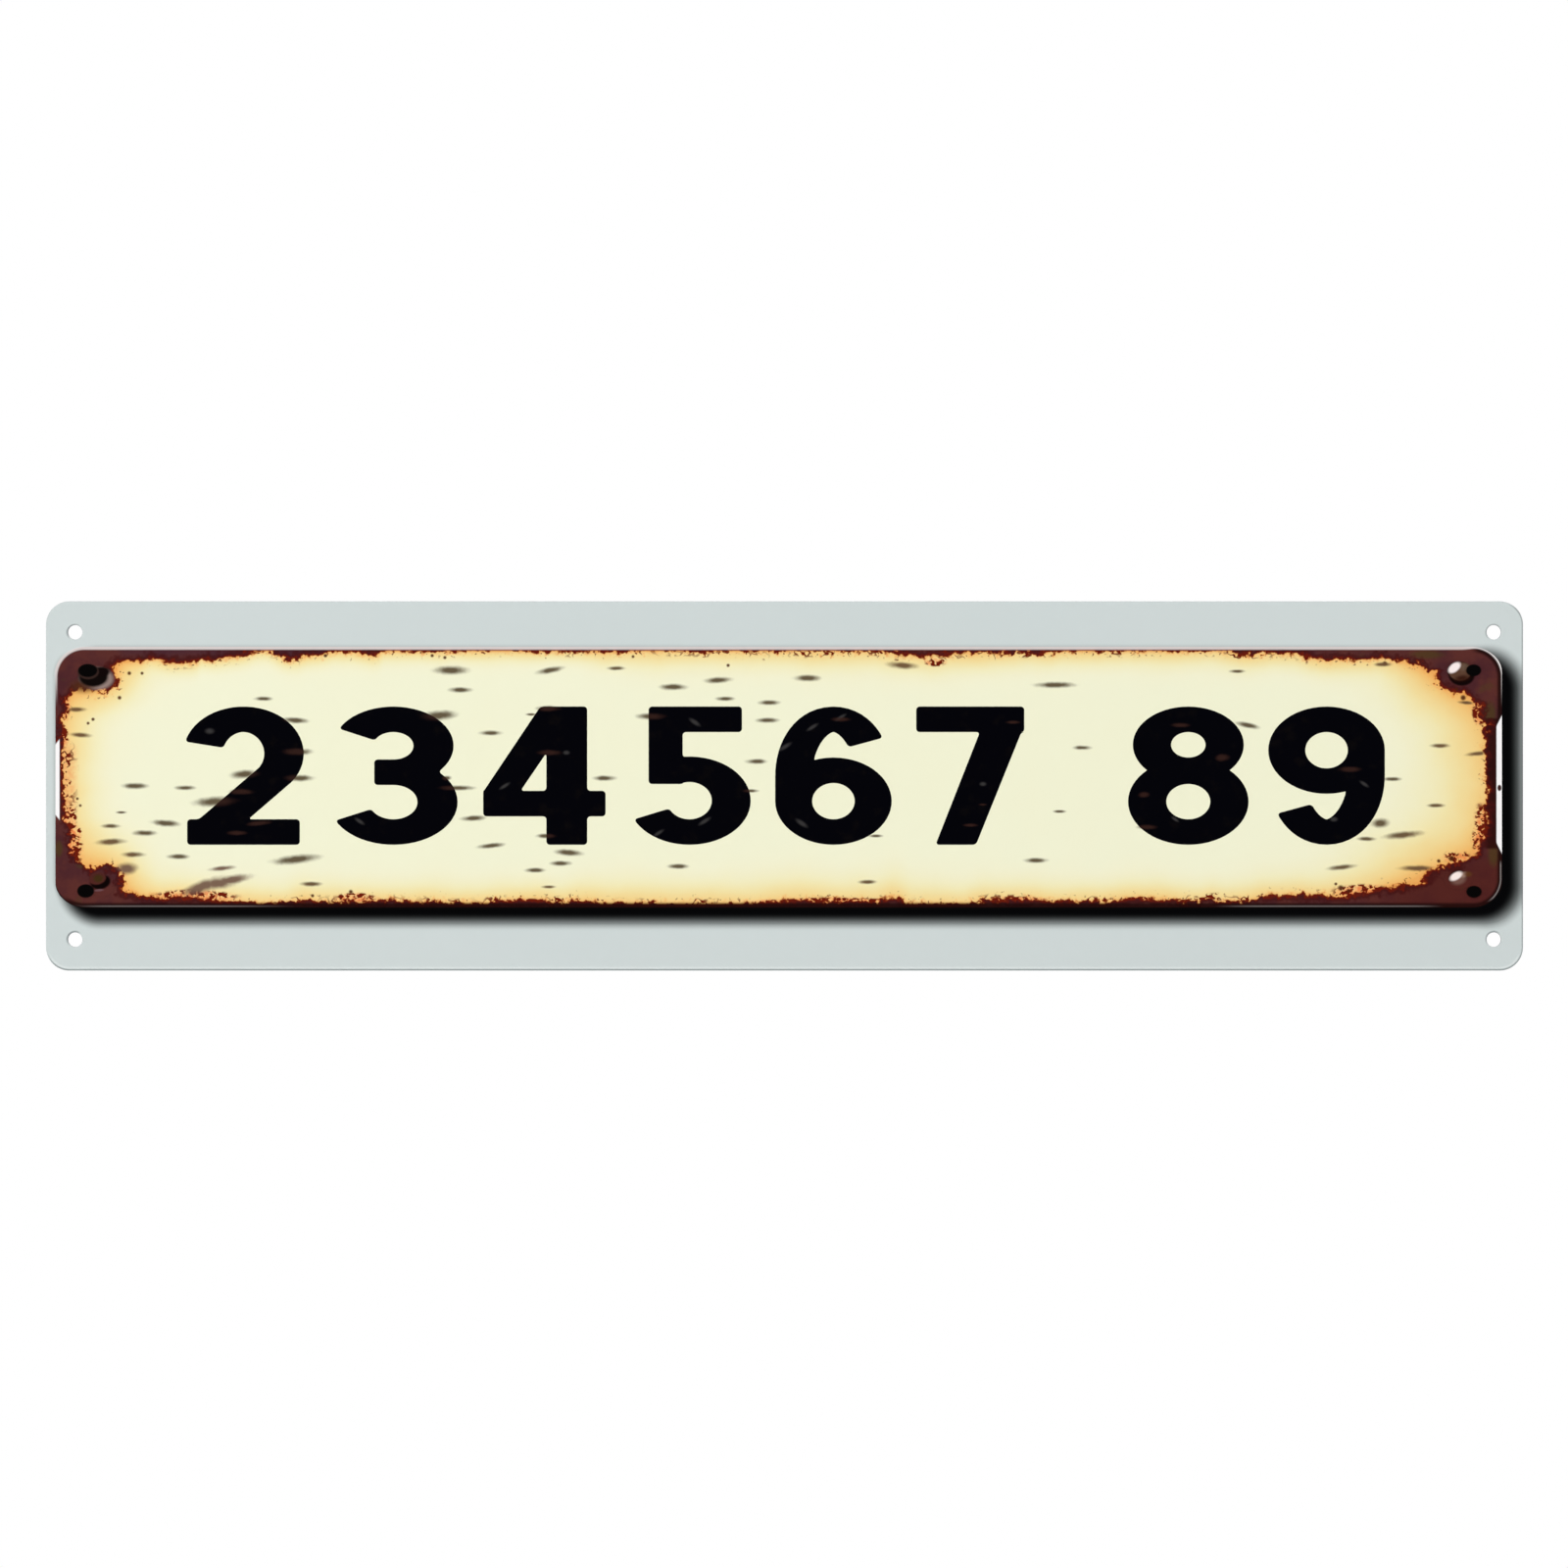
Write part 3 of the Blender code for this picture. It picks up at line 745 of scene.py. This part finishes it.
def chips(finish, place):
    """How far the paint is chipped, from 0 to 1."""
    nearest = lowest(mark_ovals(finish, place, CHIPS))
    uneven = finish.noise(place, CHIP_UNEVENNESS, detail=2.0) - 0.5
    return (nearest + uneven * 0.4).eased(1.22, 0.3) * 0.97


def print_finish():
    """The panel's weathered print, on the paint, the rust, the rivets and the bolt holes alike."""
    finish = Finish("weathered_print", Roughness=INK_ROUGHNESS, Specular_IOR_Level=0.02)
    finish.put(finish.surface, {"Base_Color": picture(finish, finish.place())})
    return finish.material


def black_finish():
    """The black ink of the numerals, worn a little where the paint under it has chipped."""
    finish = Finish("numeral_black", Roughness=INK_ROUGHNESS, Specular_IOR_Level=0.015)
    place = finish.place()
    chipped = chips(finish, place)
    cloudy = finish.noise(place, WEAR_CLOUDS, detail=4.0).eased(0.55, 0.75)
    black = finish.mix(cloudy * 0.6, *NUMERAL_BLACKS)
    scratched = lowest(mark_ovals(finish, place, SCRATCHES)).eased(1.2, 0.2)
    black = finish.mix(scratched * 0.6, black, NUMERAL_SCRATCHED)
    black = finish.mix(chipped * 0.8, black, NUMERAL_CHIPPED)
    finish.put(finish.surface, {"Base_Color": black})
    return finish.material


def sheet_finish():
    """Pale grey coating with the printed shadow on the front, and bare rolled aluminium behind."""
    finish = Finish("coated_aluminium_sheet", Specular_IOR_Level=0.03)
    place = finish.place()
    across, through, down = finish.axes(place)
    front = through.eased(*[SHEET_FRONT / PIXEL + skin for skin in FRONT_SKIN])
    grey = shadowed_grey(finish, place, across, down)
    stretched = finish.vector("MULTIPLY", place, ROLLED_STRETCH)
    rolled = finish.noise(stretched, ROLLED_FINENESS, detail=4.0)
    metal = finish.mix(rolled, *ROLLED_GREYS)
    normal = finish.node("ShaderNodeTexCoord", {}, {}, output="Normal")
    _, out_of_sheet, _ = finish.axes(normal)
    cut = abs(out_of_sheet).eased(0.75, 0.55)
    sockets = {
        "Base_Color": finish.mix(cut, finish.mix(front, metal, grey), CUT_EDGE_GREY),
        "Metallic": (1 - front) * (1 - cut),
        "Roughness": front * 0.12 + rolled * 0.12 + 0.26,
    }
    finish.put(finish.surface, sockets)
    return finish.material


def shadow_finish():
    """The printed shadow, which runs on from its film into the print on the sheet."""
    finish = Finish("printed_shadow_black", Roughness=INK_ROUGHNESS, Specular_IOR_Level=0.02)
    place = finish.place()
    across, _, down = finish.axes(place)
    finish.put(finish.surface, {"Base_Color": shadowed_grey(finish, place, across, down)})
    return finish.material


def dress(node, material):
    """Gives a CAD node its finish."""
    node.data.materials.clear()
    node.data.materials.append(material)


def arc(across, up, radius_across, radius_up, start, end):
    """Points of an elliptical arc, from one angle in degrees to another."""
    steps = max(2, round(abs(math.radians(end - start)) / ARC_STEP))
    angles = [math.radians(start + (end - start) * step / steps) for step in range(steps + 1)]
    return [(across + radius_across * math.cos(a), up + radius_up * math.sin(a)) for a in angles]


def stroke(points):
    """The quads that a flat oval nib covers along a line of points, which may close on itself."""
    closed = math.dist(points[0], points[-1]) < SAME_PLACE
    pairs = []
    for place, point in enumerate(points):
        before = points[place - 1] if place else points[-2 if closed else 0]
        after = points[place + 1] if place + 1 < len(points) else points[1 if closed else place]
        square = Vector((before[1] - after[1], after[0] - before[0])).normalized()
        reach = math.hypot(NIB_ACROSS * square.x, NIB_UP * square.y)
        off = Vector((NIB_ACROSS**2 * square.x, NIB_UP**2 * square.y)) / reach
        pairs.append((Vector(point) + off, Vector(point) - off))
    return [(a, b, d, c) for (a, b), (c, d) in zip(pairs, pairs[1:])]


def bar(left, bottom, right, top):
    """An upright bar as a list of one quad."""
    return [[Vector(p) for p in ((left, bottom), (right, bottom), (right, top), (left, top))]]


def six():
    """The strokes of a six: its ring, and the arm that rises from its left side."""
    ring = stroke(arc(63, 44.5, 43, 31.5, 0, 360))
    arm = stroke(arc(63, 70.5, 43, 57.5, 200, 36))
    return ring + arm + bar(0, 44.5, 34, 70.5)


def numeral_strokes(digit):
    """The flat quads of a numeral, in pixels across and up from the left of its base line."""
    if digit == "2":
        bowl = arc(62, 93, 41, 35, 165, -38) + [(28, 14)]
        return stroke(bowl) + bar(5, 0, 119, 26)
    if digit == "3":
        upper = arc(59, 101, 40, 27, 155, -90)
        lower = arc(59, 43.5, 44, 30.5, 90, -155)
        return stroke(upper) + stroke(lower) + bar(40, 61, 62, 87)
    if digit == "4":
        slope = [Vector(p) for p in ((2, 54), (38, 54), (76, 112), (76, 141), (58, 141))]
        return [slope] + bar(2, 29, 122, 55) + bar(64, 0, 104, 141)
    if digit == "5":
        bowl = arc(59, 45, 43, 32, 118, -155)
        return stroke(bowl) + bar(17, 62, 52, 141) + bar(17, 115, 113, 141)
    if digit == "6":
        return six()
    if digit == "7":
        leg = [Vector(p) for p in ((118, 122), (118, 141), (80, 141), (72, 115), (26, 0), (68, 0))]
        return bar(6, 115, 118, 141) + [leg]
    if digit == "8":
        return stroke(arc(62, 102, 38, 26, 0, 360)) + stroke(arc(62, 44, 43, 31, 0, 360))
    middle = Vector((NUMERAL_WIDTH, NUMERAL_HEIGHT))
    return [[middle - point for point in quad] for quad in six()]


def is_corner(vertex):
    """Whether the outline of a flat film turns sharply at a vertex."""
    rims = [edge for edge in vertex.link_edges if edge.is_boundary]
    sides = [edge.other_vert(vertex).co - vertex.co for edge in rims]
    return len(sides) == 2 and math.pi - sides[0].angle(sides[1]) > SHARP_TURN


def numeral_film(digit, left, right, back):
    """The flat form of a numeral with slightly rounded corners, in metres."""
    quads = numeral_strokes(digit)
    stretch = (right - left) / NUMERAL_WIDTH
    corners = [Vector((point.x * stretch, point.y)) for quad in quads for point in quad]
    faces = []
    for quad in quads:
        start = sum(len(face) for face in faces)
        faces.append(list(range(start, start + len(quad))))
    points, _, triangles, _, _, covered = geometry.delaunay_2d_cdt(
        corners, [], faces, 1, SAME_CORNER
    )
    film = bmesh.new()
    for point in points:
        x = (left + point.x - MIDDLE_ACROSS) * PIXEL
        z = (MIDDLE_DOWN - NUMERAL_BASE + point.y) * PIXEL
        film.verts.new((x, back, z))
    film.verts.ensure_lookup_table()
    for triangle, originals in zip(triangles, covered, strict=True):
        if originals:
            film.faces.new([film.verts[vertex] for vertex in triangle])
    loose = [vertex for vertex in film.verts if not vertex.link_faces]
    bmesh.ops.delete(film, geom=loose, context="VERTS")
    bmesh.ops.dissolve_limit(film, angle_limit=FLAT_TURN, verts=film.verts, edges=film.edges)
    bmesh.ops.bevel(
        film,
        geom=[vertex for vertex in film.verts if is_corner(vertex)],
        offset=NUMERAL_CORNER,
        segments=NUMERAL_CORNER_STEPS,
        profile=0.5,
        affect="VERTICES",
    )
    return film


def numeral(digit, left, right, back, front, material):
    """A printed numeral as a thin film."""
    film = numeral_film(digit, left, right, back)
    raised = bmesh.ops.extrude_face_region(film, geom=film.faces[:])["geom"]
    for vertex in raised:
        if isinstance(vertex, bmesh.types.BMVert):
            vertex.co.y = front
    bmesh.ops.recalc_face_normals(film, faces=film.faces)
    mesh = bpy.data.meshes.new(f"numeral_{digit}")
    film.to_mesh(mesh)
    film.free()
    mesh.materials.append(material)
    piece = bpy.data.objects.new(f"numeral_{digit}", mesh)
    bpy.context.scene.collection.objects.link(piece)
    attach(piece, "root")


def cream_paint(node, front, material):
    """The cream paint's film, a little thinner than its solid to make room for the numerals."""
    mesh = node.data.copy()
    mesh.name = "cream_paint"
    for vertex in mesh.vertices:
        vertex.co.y = max(vertex.co.y, front)
    mesh.materials.clear()
    mesh.materials.append(material)
    piece = bpy.data.objects.new("cream_paint", mesh)
    bpy.context.scene.collection.objects.link(piece)
    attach(piece, "root")
    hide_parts("cream_field")


def sign(nodes):
    """Gives the sheet and its print their finishes, and prints the numerals on the paint."""
    printed = print_finish()
    dress(nodes["sign_sheet"], sheet_finish())
    dress(nodes["printed_shadow"], shadow_finish())
    for name, node in nodes.items():
        if name == "rusted_panel" or name.startswith(("printed_rivet", "printed_bolt")):
            dress(node, printed)
    low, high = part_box("cream_field")
    paint_front = low.y + (high.y - low.y) * PAINT_THINNED_SHARE
    cream_paint(nodes["cream_field"], paint_front, printed)
    black = black_finish()
    for digit, left, right in NUMERAL_SLOTS:
        numeral(digit, left, right, high.y - PAINT_BEHIND_NUMERALS, low.y, black)


def lamp(name, place, width, power):
    """A square lamp that faces the middle of the sign."""
    light = bpy.data.lights.new(name, "AREA")
    light.shape = "RECTANGLE"
    light.size = light.size_y = width
    light.energy = power
    made = bpy.data.objects.new(name, light)
    made.location = place
    made.rotation_euler = (-Vector(place)).to_track_quat("-Z", "Y").to_euler()
    bpy.context.scene.collection.objects.link(made)


def floor_finish():
    """Pale near the sign, where it takes the shadow, and white as the background away from it."""
    finish = Finish("pale_floor", Roughness=0.9, Specular_IOR_Level=0.0, Emission_Strength=1.0)
    metres = finish.node("ShaderNodeTexCoord", {}, {}, output="Object")
    seen = finish.seen()
    away = finish.vector("LENGTH", metres, output="Value").eased(*FLOOR_WHITENS) * seen
    sockets = {
        "Base_Color": finish.mix(away, FLOOR_PALE, BLACK),
        "Emission_Color": finish.mix(away, BLACK, WHITE),
    }
    finish.put(finish.surface, sockets)
    return finish.material


def studio():
    """A pale floor below the hanging sign, soft lamps, and a white surrounding."""
    mesh = bpy.data.meshes.new("floor")
    corners = [(-1, -1), (1, -1), (1, 1), (-1, 1)]
    points = [(x * FLOOR_REACH, y * FLOOR_REACH, FLOOR_LEVEL) for x, y in corners]
    mesh.from_pydata(points, [], [(0, 1, 2, 3)])
    floor = bpy.data.objects.new("floor", mesh)
    bpy.context.scene.collection.objects.link(floor)
    mesh.materials.append(floor_finish())
    for name, (place, width, power) in LAMPS.items():
        lamp(name, place, width, power)

    world = bpy.data.worlds.new("studio")
    world.use_nodes = True
    bpy.context.scene.world = world
    wiring = Wiring(world.node_tree)
    strength = wiring.seen() * (1 - SURROUND_LIGHT) + SURROUND_LIGHT
    wiring.put(wiring.tree.nodes["Background"], {"Color": WHITE, "Strength": strength})


def camera():
    """Looks straight at the sign, from as far as the lens needs for the photograph's frame."""
    lens = bpy.data.cameras.new("camera")
    lens.lens = LENS
    lens.sensor_width = SENSOR
    made = bpy.data.objects.new("camera", lens)
    frame_width = PHOTO_SIDE * PIXEL
    distance = frame_width * lens.lens / lens.sensor_width
    x = (PHOTO_SIDE / 2 - MIDDLE_ACROSS) * PIXEL
    z = (MIDDLE_DOWN - PHOTO_SIDE / 2) * PIXEL
    made.location = (x, SHEET_FRONT - distance, z)
    made.rotation_euler = (math.radians(90), 0, 0)
    bpy.context.scene.collection.objects.link(made)
    bpy.context.scene.camera = made


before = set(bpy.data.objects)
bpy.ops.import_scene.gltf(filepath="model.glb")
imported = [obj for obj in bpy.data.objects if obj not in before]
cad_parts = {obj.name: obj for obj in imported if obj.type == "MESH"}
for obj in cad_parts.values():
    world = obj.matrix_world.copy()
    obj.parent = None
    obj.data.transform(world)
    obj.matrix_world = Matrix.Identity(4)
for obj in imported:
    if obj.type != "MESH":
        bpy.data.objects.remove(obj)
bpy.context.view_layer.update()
camera()
sign(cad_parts)
studio()
bpy.context.scene.view_settings.view_transform = "Standard"
